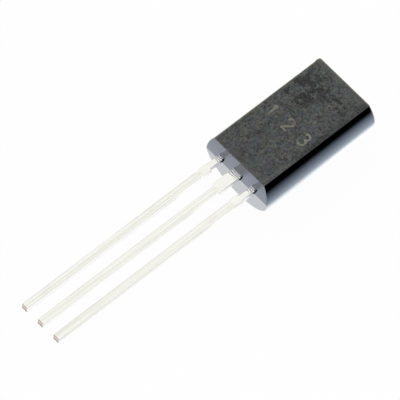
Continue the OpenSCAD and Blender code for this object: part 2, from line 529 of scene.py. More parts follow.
def resin_and_filler(board, body, flat):
    """Each grain is dark resin or pale filler, which runs from warm to cool and from green to violet."""
    green = board.blend(body["Hue"], tinted(flat, COOL_GREEN), tinted(flat, WARM_GREEN))
    violet = board.blend(body["Hue"], tinted(flat, COOL_VIOLET), tinted(flat, WARM_VIOLET))
    filler = board.blend(body["Tinge"], violet, green)
    tone = board.multiply_add(body["Grain"], 0.90, -0.10)
    tone = board.maths("MULTIPLY_ADD", body["Mottle"], 0.32, tone, clamp=True)
    return board.blend(tone, rgba(flat, 0.03), filler)


def edge_wear(board, base, settings, place, parts, along, right_edge_shade):
    """Both long edges worn, the emitter side's the most, and a scrape a little askew to the other one."""
    half_width = flat_half_width(settings)
    wear = rubbed_edges(board, place, half_width, 0.07 * MM)
    lean, shift, inset = -0.075, 0.11 * MM, 0.12 * MM
    askew = board.multiply_add(along, lean, board.add(parts["X"], shift))
    scrape = rubbed_edges(board, board.join(askew, parts["Y"], parts["Z"]), half_width - inset, 0.085 * MM)
    left = board.ramp(parts["X"], -1.6 * MM, -1.8 * MM)
    # Less wear shows where the right long edge is painted darker
    bared = board.multiply_add(left, 0.55, board.multiply_add(right_edge_shade, -0.35, 0.4))
    worn_colour = board.blend(left, rgba(settings.speck_colour), rgba(OLIVE))
    base = board.blend(board.multiply(wear, bared), base, worn_colour)
    scraped = board.multiply(board.ramp(along, 2.6 * MM, 1.4 * MM), board.ramp(parts["X"], 0.0, 0.1 * MM))
    return board.blend(board.multiply(scrape, scraped), base, rgba(settings.speck_colour, 1.3))


def flat_epoxy(settings):
    """The spark-eroded flat face, with its filler, clouds and wear."""
    material, board, place, sockets = new_material("Spark-eroded epoxy")
    body = filled_epoxy(board, place, 8800.0, 2500.0, 1250.0)
    flat = settings.flat_colour
    parts = board.split(place)
    along = board.subtract(parts["Y"], BODY_LOW.y)
    # Painted shade: the flat's right long edge is darkened from a little way past the lead end
    right_edge_shade = board.multiply(board.ramp(parts["X"], 1.45 * MM, 1.9 * MM),
                            board.ramp(along, 1.8 * MM, 3.2 * MM))
    cloud = dark_clouds(board, body, parts["X"], along, right_edge_shade)
    # Both ends are a little paler
    from_middle = board.absolute(board.subtract(parts["Y"], MIDDLE_Y))
    ends = board.ramp(from_middle, 3.1 * MM, 3.75 * MM, 0.0, 0.45)
    base = board.blend(ends, resin_and_filler(board, body, flat), rgba(flat, 1.5))
    base = board.blend(cloud, base, rgba(flat, 0.02))
    base = board.blend(board.multiply(body["Specks"], 0.5), base, rgba(settings.speck_colour))
    base = edge_wear(board, base, settings, place, parts, along, right_edge_shade)
    # The roll-over at the far end and the edge at the near end are rubbed pale, and the far roll-over is also
    # painted pale as a painted highlight
    far_rim_highlight = board.ramp(parts["Y"], BODY_HIGH.y - 0.32 * MM, BODY_HIGH.y - 0.2 * MM)
    near_rim = board.multiply(board.ramp(along, 0.20 * MM, 0.15 * MM), 0.8)
    rim = board.multiply(board.maximum(far_rim_highlight, near_rim), 0.75)
    board.feed(sockets["Base Color"], board.blend(rim, base, rgba(PALE_WEAR_AND_HIGHLIGHT)))
    rough = board.ramp(body["Grain"], 0.1, 0.9, 0.66, 0.38)
    board.feed(sockets["Roughness"], board.multiply_add(cloud, 0.12, rough))
    sockets["IOR"].default_value = 1.56
    relief(board, sockets, body["Height"], 0.012 * MM, 0.6)
    return material


def gloss_epoxy(name, settings, slant_tint, edge_on_tint, dull_rim):
    """The skin released from a polished mould, which mirrors more and more the flatter it is seen."""
    material, board, place, sockets = new_material(name)
    body = filled_epoxy(board, place, 7000.0, 2600.0, 700.0)
    facing = board.node("ShaderNodeLayerWeight", {"Blend": 0.5}).outputs["Facing"]
    glance = board.ramp(facing, 0.02, 0.20)
    shade = board.blend(body["Mottle"], rgba(settings.gloss_colour), rgba(settings.gloss_colour, 1.8))
    # The skin is black square on, mirrors more at a slant and pales as it turns edge on
    mirror = board.blend(board.ramp(facing, 0.0, 0.35), rgba(settings.gloss_colour), rgba(slant_tint))
    mirror = board.blend(board.ramp(facing, 0.57, 0.88), mirror, rgba(edge_on_tint))
    # The roll-over at the far end was rubbed dull
    rim = board.ramp(board.normal()["Y"], 0.12, 0.45, 0.0, dull_rim)
    mirror = board.blend(rim, mirror, rgba(RUBBED_DULL))
    board.feed(sockets["Base Color"], board.blend(glance, shade, mirror))
    board.feed(sockets["Metallic"], glance)
    board.feed(sockets["Roughness"], board.ramp(body["Blotches"], 0.0, 1.0, 0.06, 0.09))
    sockets["IOR"].default_value = 1.6
    sockets["Coat Weight"].default_value = 1.0
    sockets["Coat Roughness"].default_value = 0.05
    sockets["Coat IOR"].default_value = 1.5
    relief(board, sockets, body["Height"], 0.0006 * MM, 0.35)
    return material


def moulding_outline(settings, inset, segments):
    """The D of the moulding as (x, z) above the parting plane, drawn in by inset, widest at the flash line."""
    # The long edges keep a small radius however far the outline is drawn in
    small = max(settings.flat_edge_radius - inset, 0.01 * MM)
    radius = BACK_RADIUS - inset
    rise = BODY_HIGH.z - PARTING_Z - inset - small
    half = math.sqrt((radius - small) ** 2 - rise ** 2)
    turn = math.atan2(rise, half)
    # Two points on each side of the flash line keep its bend from spreading over the round
    foot, guard = 0.012 * MM / radius, 0.03 * MM / radius
    above = segments // 5
    upper = [guard + (turn - guard) * (1 - i / above) for i in range(above)] + [guard, foot]
    lower = [-(guard + (math.pi - 2 * guard) * i / segments) for i in range(segments + 1)]
    mirrored = [-math.pi - a for a in reversed(upper)]
    angles = upper + [0.0, -foot] + lower + [foot - math.pi, -math.pi] + mirrored
    points = []
    for a in angles:
        # The round draws back a hair towards the parting line, where the flash stands proud of it
        off = min(abs(a), abs(a + math.pi))
        out = radius - settings.flash_height * (1 - ease(off, 2 * guard, DRAW_BACK)) * (off > 0)
        points.append((out * math.cos(a), out * math.sin(a)))
    turns, across = 8, 24
    top = rise + small - settings.flat_drop
    edge = [math.pi - turn + (turn - math.pi / 2) * i / turns for i in range(1, turns + 1)]
    points += [(-half + small * math.cos(a), min(top, rise + small * math.sin(a))) for a in edge]
    points += [(-half + 2 * half * i / across, top) for i in range(1, across)]
    points += [(half - small * math.cos(a), min(top, rise + small * math.sin(a))) for a in reversed(edge)]
    return points


def moulding_end(settings, radius, segments):
    """Rings of (x, z, depth) from the middle of a drafted end out to where its edge runs into the side."""
    front, back = math.tan(settings.front_draft), math.tan(settings.back_draft)

    def lean(z):
        return z * front if z > 0 else -z * back

    face = moulding_outline(settings, radius, segments)
    rings = [[(s * x, s * z, lean(s * z)) for x, z in face] for s in (0.25, 0.5, 0.75, 0.9, 0.97, 1.0)]
    turns = 12
    for i in range(1, turns + 1):
        a = math.pi / 2 * (1 - i / turns)
        ring = moulding_outline(settings, radius * (1 - math.cos(a)), segments)
        rings.append([(x, z, lean(z) + radius * (1 - math.sin(a))) for x, z in ring])
    return rings


def moulding_mesh(settings, segments):
    near = moulding_end(settings, settings.near_edge_radius, segments)
    far = moulding_end(settings, settings.far_edge_radius, segments)
    start, finish = BODY_LOW.y, BODY_HIGH.y
    rings = [[Vector((x, start + depth, PARTING_Z + z)) for x, z, depth in ring] for ring in near]
    stations = 36
    for i in range(1, stations):
        rings.append([Vector((x, start + d + (finish - start - d - e) * i / stations, PARTING_Z + z))
                      for (x, z, d), (_, _, e) in zip(near[-1], far[-1])])
    rings += [[Vector((x, finish - depth, PARTING_Z + z)) for x, z, depth in ring] for ring in reversed(far)]
    return skin("moulded_body", rings, Vector((0, start, PARTING_Z)), Vector((0, finish, PARTING_Z)))


def finish_of(face, mesh, settings):
    """The finish that a face of the moulding takes."""
    corners = [mesh.vertices[v].co for v in face.vertices]
    far = max(corner.y for corner in corners) > BODY_HIGH.y - 2 * settings.far_edge_radius
    lowest = BODY_HIGH.z - 0.3 * settings.flat_edge_radius - (settings.far_edge_radius if far else 0)
    # The spark-eroded finish laps over the roll at the far end and over the edge on the emitter side
    steepest = 0.5 if far or face.normal.x < 0 else 0.9
    if face.normal.z > steepest and face.normal.x < 0.5 and min(corner.z for corner in corners) > lowest:
        return FLAT
    return END if abs(face.normal.y) > 0.7 else ROUND


class TRANSISTOR_OT_moulding(bpy.types.Operator):
    """Build the epoxy moulding with its drafted ends, rolled edges, flash line and ejector-pin mark"""

    bl_idname = "transistor.moulding"
    bl_label = "Moulding"

    def execute(self, context):
        settings = context.scene.transistor_moulding
        mesh = moulding_mesh(settings, context.scene.transistor_studio.segments)
        polished = gloss_epoxy("Polished epoxy", settings, settings.polish_tint, settings.edge_on_tint, 0.8)
        satin = gloss_epoxy("Satin epoxy", settings, settings.satin_tint, settings.satin_tint, 0.0)
        body = linked_object("moulded_body", mesh, polished, satin, flat_epoxy(settings))
        rim = settings.pin_mark_diameter / 2
        floor_z = PARTING_Z - math.sqrt(BACK_RADIUS ** 2 - rim ** 2) + settings.pin_mark_depth
        middle = (BODY_LOW + BODY_HIGH) / 2
        cut_away(body, upright_disc("pin_mark", middle, rim, BODY_LOW.z - MM, floor_z, 96))
        for face in body.data.polygons:
            face.material_index = finish_of(face, body.data, settings)
        # The ends keep a crisp crease along the parting plane
        smooth_by_angle(body.data, 11)
        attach(body, "root")
        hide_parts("body")
        return {"FINISHED"}


# ---- Leads ----

# Ripples against the moulding and ridges in the dip coat: how far apart or how long, and how high
RIPPLE_PITCH, RIPPLE_HEIGHT = 0.12 * MM, 0.0020 * MM
RIDGE_LENGTH, RIDGE_HEIGHT = 3.2 * MM, 0.0045 * MM
# Beads of tin at each root: side of the lead, distance out of the body and radius, both in millimetres
BEADS = ((1, 0.07, 0.062), (-1, 0.12, 0.034), (0.45, 0.19, 0.024), (-0.35, 0.10, 0.030), (1, 0.27, 0.022))
BEAD_SHAPE = Matrix.Diagonal((1.0, 1.35, 0.55, 1.0))


def bright_tin(settings):
    material, board, place, sockets = new_material("Dipped tin")
    streak = settings.streak_colour
    runs = run_streaks(board, place, 8000.0, 45.0, 0.09)
    lines = run_streaks(board, place, 17000.0, 60.0, 0.1)
    parts = board.split(place)
    along = board.subtract(parts["Y"], BODY_LOW.y)
    shade = board.blend(board.multiply(runs["Streaks"], 0.3), rgba(settings.tin_colour), rgba(streak))
    # Fine drawn lines, which fade towards the roots
    fade = board.ramp(along, -1.3 * MM, -1.6 * MM, 0.3, 1.0)
    drawn = board.multiply(board.ramp(lines["Height"], 0.48, 0.56), fade)
    shade = board.blend(board.multiply(drawn, 0.95), shade, rgba(streak))
    shade = board.blend(board.multiply(runs["Stain"], 0.25), shade, rgba(streak, 0.9))
    # The tin drew thin over the long edges of each lead
    across = board.maths("WRAP", parts["X"], LEAD_PITCH / 2, -LEAD_PITCH / 2)
    half_width = settings.lead_width / 2 - 0.015 * MM
    wear = rubbed_edges(board, board.join(across, parts["Y"], parts["Z"]), half_width, 0.045 * MM)
    shade = board.blend(board.multiply(wear, 0.3), shade, rgba(streak, 0.92))
    # The stamped sides are painted whiter than the rolled faces: partly a thicker, whiter coat and partly
    # painted light on the sides
    upright = board.absolute(board.normal()["Z"])
    side = board.multiply(board.ramp(upright, 0.75, 0.35), 0.85)
    shade = board.blend(side, shade, rgba(settings.side_coat_and_light_colour))
    # The shear left a line on the side of each lead, deeper from lead to lead
    off = board.absolute(board.subtract(parts["Z"], SIDE_HIGH.z - 0.11 * MM))
    line = board.multiply(board.ramp(off, 0.09 * MM, 0.0), board.ramp(parts["X"], -0.8 * MM, 1.3 * MM))
    shade = board.blend(board.multiply(line, side), shade, rgba(streak, 0.88))
    board.feed(sockets["Base Color"], shade)
    sockets["Metallic"].default_value = 1.0
    polish = board.ramp(drawn, 0.0, 1.0, 0.13, 0.24)
    board.feed(sockets["Roughness"], board.multiply_add(side, 0.15, polish))
    relief(board, sockets, runs["Height"], 0.006 * MM, 0.5)
    return material


def sheared_copper(settings):
    material, board, place, sockets = new_material("Sheared copper")
    copper = settings.copper_colour
    scores = run_streaks(board, board.vector("MULTIPLY", place, (1.0, 1.0, 0.1)), 26000.0, 9000.0, 0.2)
    # The cut burnishes the face's upper part, tears a dark band below it and drags tin over the lower edge
    middle = (SIDE_LOW.z + SIDE_HIGH.z) / 2
    ragged = board.multiply_add(scores["Streaks"], 0.05 * MM, board.split(place)["Z"])
    torn = board.ramp(ragged, middle + 0.02 * MM, middle - 0.06 * MM)
    dragged = board.ramp(ragged, middle - 0.09 * MM, middle - 0.15 * MM)
    shade = board.blend(scores["Streaks"], rgba(copper), rgba(copper, 0.85))
    shade = board.blend(torn, shade, rgba(copper, 0.48))
    board.feed(sockets["Base Color"], board.blend(dragged, shade, rgba(settings.streak_colour)))
    sockets["Metallic"].default_value = 1.0
    board.feed(sockets["Roughness"], board.ramp(torn, 0.0, 1.0, 0.28, 0.55))
    relief(board, sockets, scores["Height"], 0.006 * MM, 0.5)
    return material


def corner(y, at, radius):
    """How far a rounded plate is drawn in at y, where its end lies at `at` and its corner has that radius."""
    off = abs(y - at)
    if off >= radius:
        return 0.0
    return radius - math.sqrt(max(0.0, radius ** 2 - (radius - off) ** 2))


def lead_edges(settings, side, y):
    """Left and right edge of a lead, from its own middle, at a distance y along it from the body's end."""
    lead, neck = settings.lead_width / 2, settings.neck_width
    gap, dam = -settings.dam_gap, -(settings.dam_gap + settings.dam_length)
    soft = settings.shoulder
    widen = ease(y, dam - 0.35 * soft, dam + 0.65 * soft)
    # The punch that cut the dam bar nicked each lead below it and left a little of the bar on the middle one
    nick = settings.nick * bell(y - dam + 0.08 * MM, 0.07 * MM)
    if side == 0:
        half = lead - nick + (settings.middle_width / 2 - lead) * widen
        return -half - settings.nick * widen * (1 - ease(y, gap - 0.3 * MM, 0)), half
    lead -= nick / 2
    stub = settings.stub_width / 2
    tuck = ease(y, gap - 0.25 * soft, gap + 0.45 * soft)
    outer = lead + (stub - lead) * widen + (lead - stub) * tuck
    inner = -lead - (stub - lead) * widen + (stub - (neck - lead)) * tuck
    return (inner, outer) if side > 0 else (-outer, -inner)


def lead_ring(left, right, y, low, high, square):
    """A rounded rectangle between the four limits; a larger square flattens faces and tightens corners."""
    middle_x, middle_z = (left + right) / 2, (low + high) / 2
    half_x, half_z = (right - left) / 2, (high - low) / 2
    ring = []
    around = 48
    for i in range(around):
        # Points gather at the corners, where the section bends
        a = 2 * math.pi * i / around
        a += -0.09 * math.sin(4 * a)
        c, s = math.cos(a), math.sin(a)
        reach = (abs(c) ** square + abs(s) ** square) ** (-1 / square)
        ring.append(Vector((middle_x + half_x * reach * c, y, middle_z + half_z * reach * s)))
    return ring


def spacing(settings, y):
    """Distance from one section of a lead to the next, short where the width or the surface changes."""
    if y < -settings.dam_gap - settings.dam_length - 0.4 * MM:
        return 0.14 * MM
    if y < -0.65 * MM:
        return 0.02 * MM
    return 0.0115 * MM if y < 0.1 * MM else 0.05 * MM


def lead_stations(settings, tip, finish, extra):
    """Distances from the body's end at which a lead's section is drawn."""
    stations = set()
    y = tip
    while y < finish:
        stations.add(round(y, 7))
        y += spacing(settings, y)
    # The shear rounds the last few hundredths of the tip
    stations.update(round(tip + d * MM, 7) for d in (0.004, 0.01, 0.02, 0.035, 0.06))
    stations.update(round(e, 7) for e in (*extra, finish))
    return sorted(stations)


def dipped_ring(settings, side, y, tip):
    """The section of a lead outside the plates, with its dip coat, sheared tip, root ripples and ridges."""
    centre = side * LEAD_PITCH
    left, right = lead_edges(settings, side, y)
    wobble = noise.noise(Vector((side * 7.3, y / (1.9 * MM), 0.4)))
    sway = noise.noise(Vector((side * 3.1, y / (2.7 * MM), 5.2)))
    # The dip coat begins at a ragged line, a little way from the body
    line = -settings.dip_start - 0.05 * MM * wobble
    coat = settings.dip_thickness * (1 - ease(y, line - 0.35 * MM, line + 0.05 * MM))
    lip = 0.12 * settings.dip_thickness * bell(y - line + 0.30 * MM, 0.16 * MM)
    grow = coat * (1 + 0.35 * wobble) + lip
    square = 11 - 1.5 * (1 - ease(y, line - 0.25 * MM, line + 0.05 * MM)) if y < 0.05 * MM else 30
    worn = 0.035 * MM * (1 - ease(y, tip, tip + 0.05 * MM)) ** 2
    left, right = left - grow + 0.6 * worn, right + grow - 0.6 * worn
    low, high = SIDE_LOW.z - grow + 0.2 * worn, SIDE_HIGH.z + grow - worn
    ring = lead_ring(centre + left, centre + right, BODY_LOW.y + y, low, high, square)
    # The tin dried in small curved ripples against the moulding
    near = ease(y, -0.55 * MM, -0.10 * MM) * (1 - ease(y, -0.03 * MM, 0.02 * MM))
    if near > 0:
        for point in ring:
            if point.z > (low + high) / 2:
                across = (2 * point.x - 2 * centre - left - right) / (right - left)
                sag = 0.5 * noise.noise(Vector((across, y / (0.2 * MM), 3.0 * side)))
                phase = y / RIPPLE_PITCH - 0.22 * across ** 2 + sag
                point.z += RIPPLE_HEIGHT * near * math.sin(2 * math.pi * phase)
    if y < -settings.dip_start - 0.3 * MM:
        # The coat ran into low ridges that wander along the lead
        for point in ring:
            across = (point.x - centre) / (right - left)
            ridge = noise.noise(Vector((across * 5.5 + 0.9 * sway + side * 4.0, y / RIDGE_LENGTH, 2.0)))
            lift = RIDGE_HEIGHT * ridge
            point.z += lift if point.z > (low + high) / 2 else -lift
    return ring


def lead_mesh(name, settings, side):
    """A dipped lead as far as its plate, and then the bonding post or the chip paddle inside the body."""
    box_low, box_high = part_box(name)
    tip, finish = CAD_LOW.y - BODY_LOW.y, box_high.y - BODY_LOW.y
    half_plate = (box_high.x - box_low.x) / 2
    plate = PADDLE_START if side == 0 else POST_START
    centre = side * LEAD_PITCH
    rings = []
    for y in lead_stations(settings, tip, finish, (plate - 1e-6, plate, finish - 0.003 * MM)):
        if y < plate:
            rings.append(dipped_ring(settings, side, y, tip))
        else:
            half = half_plate - corner(y, plate, FRAME_CORNER) - corner(y, finish, FRAME_CORNER)
            rings.append(lead_ring(centre - half, centre + half, BODY_LOW.y + y, SIDE_LOW.z, SIDE_HIGH.z, 30))
    return skin(name + "_dipped", rings, middle_of(rings[0]), middle_of(rings[-1]))


def flash_and_shade_mesh(settings):
    """Rest of the flash that filled the corner between one side of each lead and the moulding, also a dark
    piece of painted shade there.
    """
    made = bmesh.new()
    levels, sunk = 14, 0.05 * MM
    low, high = 0.10, 0.84
    end, base = BODY_LOW.y, BODY_LOW.y + sunk
    for side in LEAD_SIDES.values():
        face = side * LEAD_PITCH + lead_edges(settings, side, 0.0)[1]
        rows = []
        for i in range(levels + 1):
            share = i / levels
            z = SIDE_LOW.z + (SIDE_HIGH.z - SIDE_LOW.z) * (low + (high - low) * share)
            torn = noise.noise(Vector((7 * share, 3.7 * side, 0.3)))
            torn += 0.5 * noise.noise(Vector((19 * share, 2.1 * side, 1.3)))
            # The piece is thickest towards the flat side and tears out at both of its ends
            full = ease(share, 0.0, 0.45) * (1 - ease(share, 0.9, 1.0))
            thick = settings.flash_rest * (0.25 + 0.75 * full) * (1 + 0.35 * torn)
            reach = settings.flash_reach * (0.2 + 0.8 * full) * (1 + 0.5 * torn)
            rows.append([made.verts.new((x, y, z)) for x, y in (
                (face - sunk, base), (face + thick, base), (face + thick, end - 0.1 * reach),
                (face + 0.6 * thick, end - 0.55 * reach), (face + 0.1 * thick, end - reach),
                (face - sunk, end - reach))])
        for row, following in zip(rows, rows[1:]):
            join_rings(made, row, following)
        made.faces.new(rows[0])
        made.faces.new(rows[-1])
    return finished_mesh("lead_flash_and_shade", made)


def broken_resin_and_shade(settings):
    """The dull black fracture of thin flash, kept dull as painted shade in the corner it fills."""
    material, board, place, sockets = new_material("Broken resin and painted shade")
    body = filled_epoxy(board, place, 24000.0, 9000.0, 4000.0)
    shade = board.blend(body["Mottle"], rgba(settings.gloss_colour), rgba(settings.gloss_colour, 3.0))
    board.feed(sockets["Base Color"], shade)
    board.feed(sockets["Roughness"], board.ramp(body["Grain"], 0.0, 1.0, 0.45, 0.7))
    # The low gloss keeps the piece as dark as painted shade in the corner
    sockets["IOR"].default_value = 1.25
    relief(board, sockets, body["Height"], 0.008 * MM, 0.8)
    return material


def add_bead(made, at, radius):
    """A bead in rings from its top to its foot, drawn out along the lead and pressed flat."""
    place = Matrix.Translation(at) @ BEAD_SHAPE
    around, down = 20, 12
    turns = [2 * math.pi * i / around for i in range(around)]
    rings = []
    for step in range(1, down):
        wide, high = radius * math.sin(math.pi * step / down), radius * math.cos(math.pi * step / down)
        rings.append([place @ Vector((wide * math.cos(a), wide * math.sin(a), high)) for a in turns])
    add_skin(made, rings, place @ Vector((0, 0, radius)), place @ Vector((0, 0, -radius)))


def beads_mesh(settings):
    made = bmesh.new()
    for number, side in enumerate(LEAD_SIDES.values()):
        left, right = lead_edges(settings, side, 0.0)
        for order, (place, out, radius) in enumerate(BEADS):
            swell = 1 + 0.3 * noise.noise(Vector((number * 2.7, order * 1.9, 0.5)))
            across = (left + right) / 2 + place * ((right - left) / 2 - 0.012 * MM)
            at = Vector((side * LEAD_PITCH + across, BODY_LOW.y - out * swell * MM, SIDE_HIGH.z))
            add_bead(made, at, radius * swell * MM)
    return finished_mesh("tin_beads", made)


class TRANSISTOR_OT_flash(bpy.types.Operator):
    """Leave the rest of the broken flash in the corner beside each lead, a dark piece that is also painted
    shade
    """

    bl_idname = "transistor.flash"
    bl_label = "Flash"

    def execute(self, context):
        resin = broken_resin_and_shade(context.scene.transistor_moulding)
        flash = linked_object("lead_flash_and_shade", flash_and_shade_mesh(context.scene.transistor_leads), resin)
        smooth_by_angle(flash.data, 50)
        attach(flash, "root")
        return {"FINISHED"}


class TRANSISTOR_OT_leads(bpy.types.Operator):
    """Build the three tinned leads with their cut dam bar, dip coat, sheared tips and inner frame"""

    bl_idname = "transistor.leads"
    bl_label = "Leads"

    def execute(self, context):
        settings = context.scene.transistor_leads
        tin, copper = bright_tin(settings), sheared_copper(settings)
        for name, side in LEAD_SIDES.items():
            lead = linked_object(name + "_dipped", lead_mesh(name, settings, side), tin, copper)
            if side == 0:
                # The locking hole stands midway between the chip and the far end of the paddle
                lock = Vector((0, (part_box("die")[1].y + PADDLE_HIGH.y) / 2, 0))
                low, high = PADDLE_LOW.z - MM, PADDLE_HIGH.z + MM
                cut_away(lead, upright_disc("paddle_lock", lock, LOCK_RADIUS, low, high, 64))
            for face in lead.data.polygons:
                deepest = max(lead.data.vertices[v].co.y for v in face.vertices)
                if face.normal.y < -0.5 and deepest < CAD_LOW.y + 0.008 * MM:
                    face.material_index = 1
            smooth_by_angle(lead.data, 40)
            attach(lead, "root")
            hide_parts(name)
        beads = linked_object("tin_beads", beads_mesh(settings), tin)
        smooth_by_angle(beads.data, 60)
        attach(beads, "root")
        return {"FINISHED"}


# ---- Pin numbers ----

def arc(centre, radius, start, end, steps):
    """Points on an oval arc between two angles in degrees."""
    turns = [math.radians(start + (end - start) * i / steps) for i in range(steps + 1)]
    return [(centre[0] + radius[0] * math.cos(a), centre[1] + radius[1] * math.sin(a)) for a in turns]


# Each number is drawn with two strokes through a box 0.6 wide and 1 high, from its lower left corner
NUMBERS = {
    -1: ([(0.34, 1.0), (0.34, 0.0)], [(0.12, 0.76), (0.34, 1.0)]),
    0: (arc((0.3, 0.72), (0.28, 0.28), 168, -38, 16) + [(0.04, 0.0)], [(0.04, 0.0), (0.6, 0.0)]),
    1: (arc((0.29, 0.765), (0.25, 0.235), 158, -90, 14), arc((0.28, 0.27), (0.30, 0.27), 92, -160, 18)),
}
# How far the numbers stand from the middle of the flat towards the leads
NUMBERS_SHIFT = 0.3 * MM


def burnt_epoxy(settings, moulding):
    material, board, place, sockets = new_material("Burnt epoxy")
    body = filled_epoxy(board, place, 9000.0, 5200.0, 2600.0)
    colour = rgba(settings.colour)
    shade = board.blend(board.multiply(body["Blotches"], 0.6), colour, rgba(moulding.flat_colour))
    shade = board.blend(board.multiply(body["Mottle"], 0.45), shade, rgba(settings.colour, 0.5))
    board.feed(sockets["Base Color"], shade)
    board.feed(sockets["Roughness"], board.ramp(body["Mottle"], 0.0, 1.0, 0.55, 0.7))
    relief(board, sockets, body["Height"], 0.010 * MM, 0.6)
    return material


def stroke_rings(points, width):
    """Left and right side of a line of that width, with mitred joints."""
    left, right = [], []
    for i, point in enumerate(points):
        before = (point - points[i - 1]).normalized() if i else None
        after = (points[i + 1] - point).normalized() if i + 1 < len(points) else None
        along = ((before or after) + (after or before)).normalized()
        side = Vector((-along.y, along.x))
        reach = width / 2 / max(0.35, abs(along.dot(after or before)))
        left.append(point + side * reach)
        right.append(point - side * reach)
    return left + right[::-1]


def add_stroke(made, points, width, low, high):
    """A closed band along the points, from height low to height high."""
    edge = stroke_rings(points, width)
    count = len(edge)
    under = [made.verts.new((p.x, p.y, low)) for p in edge]
    over = [made.verts.new((p.x, p.y, high)) for p in edge]
    join_rings(made, under, over)
    for i in range(len(points) - 1):
        made.faces.new((over[i], over[i + 1], over[count - 2 - i], over[count - 1 - i]))
        made.faces.new((under[i + 1], under[i], under[count - 1 - i], under[count - 2 - i]))


def numbers_mesh(settings):
    made = bmesh.new()
    top = BODY_HIGH.z
    height = settings.height
    for side, strokes in NUMBERS.items():
        lower_left = Vector((side * LEAD_PITCH - 0.3 * height, MIDDLE_Y - NUMBERS_SHIFT - height / 2))
        for order, line in enumerate(strokes):
            points = [lower_left + Vector(p) * height for p in line]
            # The second stroke lies a hair below the first where they cross
            add_stroke(made, points, settings.stroke, top - settings.depth, top - 0.0006 * MM * order)
    return finished_mesh("pin_numbers", made)


class TRANSISTOR_OT_numbers(bpy.types.Operator):
    """Burn the plain pin numbers 1, 2 and 3 into the flat face, each in line with its lead"""

    bl_idname = "transistor.numbers"
    bl_label = "Pin numbers"

    def execute(self, context):
        settings = context.scene.transistor_numbers
        material = burnt_epoxy(settings, context.scene.transistor_moulding)
        numbers = linked_object("pin_numbers", numbers_mesh(settings), material)
        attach(numbers, "root")
        return {"FINISHED"}


# ---- Inside the moulding ----

def inner_finish(name, dark, pale, metallic, roughness, drawn, bump):
    """A finish that runs from dark to pale, in streaks on drawn metal and in a mottle on the rest."""
    material, board, place, sockets = new_material(name)
    if drawn:
        body = run_streaks(board, place, 20000.0, 3000.0)
        share = body["Streaks"]
    else:
        body = filled_epoxy(board, place, 30000.0, 12000.0)
        share = body["Mottle"]
    board.feed(sockets["Base Color"], board.blend(share, rgba(dark), rgba(pale)))
    sockets["Metallic"].default_value = metallic
    board.feed(sockets["Roughness"], board.ramp(share, 0.0, 1.0, roughness, 0.8 * roughness))
    relief(board, sockets, body["Height"], bump, 0.4)
    return material


class TRANSISTOR_OT_chip(bpy.types.Operator):
    """Give the silicon chip, the solder under it and the bond wires their finishes"""

    bl_idname = "transistor.chip"
    bl_label = "Chip and wires"

    def execute(self, context):
        silicon = inner_finish("Polished silicon", (0.05, 0.06, 0.08), (0.09, 0.10, 0.13), 0.0, 0.12,
                               False, 0.0008 * MM)
        solder = inner_finish("Dull solder", (0.42, 0.43, 0.45), (0.60, 0.61, 0.62), 1.0, 0.45,
                              False, 0.006 * MM)
        gold = inner_finish("Drawn gold", (0.78, 0.52, 0.16), (0.90, 0.66, 0.28), 1.0, 0.22,
                            True, 0.001 * MM)
        finishes = {"die": silicon, "die_attach": solder, "bond_wire_emitter": gold, "bond_wire_base": gold}
        for name, material in finishes.items():
            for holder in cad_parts[name].material_slots:
                holder.material = material
        return {"FINISHED"}


# ---- Studio ----

# Half the side of the floor, and how wide the tent's dark gap opens, as cosines of the angle from its middle
FLOOR_REACH = 1.5
GAP_INSIDE, GAP_OUTSIDE = 0.80, 0.35


def outside_gap(board, direction):
    """0 in the dark gap of the tent and 1 away from it."""
    return board.ramp(board.vector("DOT_PRODUCT", direction, GAP_TOWARD), GAP_INSIDE, GAP_OUTSIDE)


def card_reach(board, along, beside, leads):
    """How far a place on the floor counts as being from the part, less beside the far end and the leads."""
    past_end, before_leads = 12 * MM, -15 * MM
    past = board.maximum(board.subtract(along, past_end), 0.0)
    before = board.maximum(board.subtract(before_leads, along), 0.0)
    away = board.vector("LENGTH", board.join(beside, past, before))
    inside = board.node("ShaderNodeClamp", {"Value": along, "Min": 0.0, "Max": past_end}).outputs[0]
    lean = board.multiply(inside, 0.25)
    return board.add(board.subtract(away, lean), board.multiply_add(leads, -3.4 * MM, 1.6 * MM))


def card_tint(board, across, along, beside, leads, reach):
    """Cool and bluer further out, but white on the emitter side, beside the leads and by the body."""
    tint = board.blend(board.ramp(reach, 0.5 * MM, 4.5 * MM), (0.90, 0.97, 1.0, 1), (0.70, 0.79, 0.88, 1))
    right_side = board.ramp(across, -2.6 * MM, -2.2 * MM)
    touching = board.multiply(board.ramp(beside, 0.9 * MM, 0.1 * MM), board.ramp(along, 0.6 * MM, 1.2 * MM))
    touching = board.maximum(touching, board.subtract(1.0, right_side))
    return board.blend(board.maximum(leads, touching), tint, (1.0, 1.0, 0.995, 1))


def card_brightness(board, along, beside):
    """The card is brightest a little way in front of the body, and close beside it towards its far end."""
    front = board.ramp(along, -2.7 * MM, -1.6 * MM, 0.93, 1.12)
    bright = board.multiply(front, board.ramp(along, -0.3 * MM, -1.5 * MM, 0.92, 1.0))
    bright = board.multiply(bright, board.ramp(along, -2.9 * MM, -3.6 * MM, 1.0, 1.09))
    close = board.multiply(board.ramp(beside, 1.7 * MM, 0.8 * MM), board.ramp(along, 0.6 * MM, 1.2 * MM))
    slope = board.ramp(along, 1.2 * MM, 8.6 * MM, -0.2, 0.2)
    return board.multiply(bright, board.multiply_add(close, slope, 1.0))


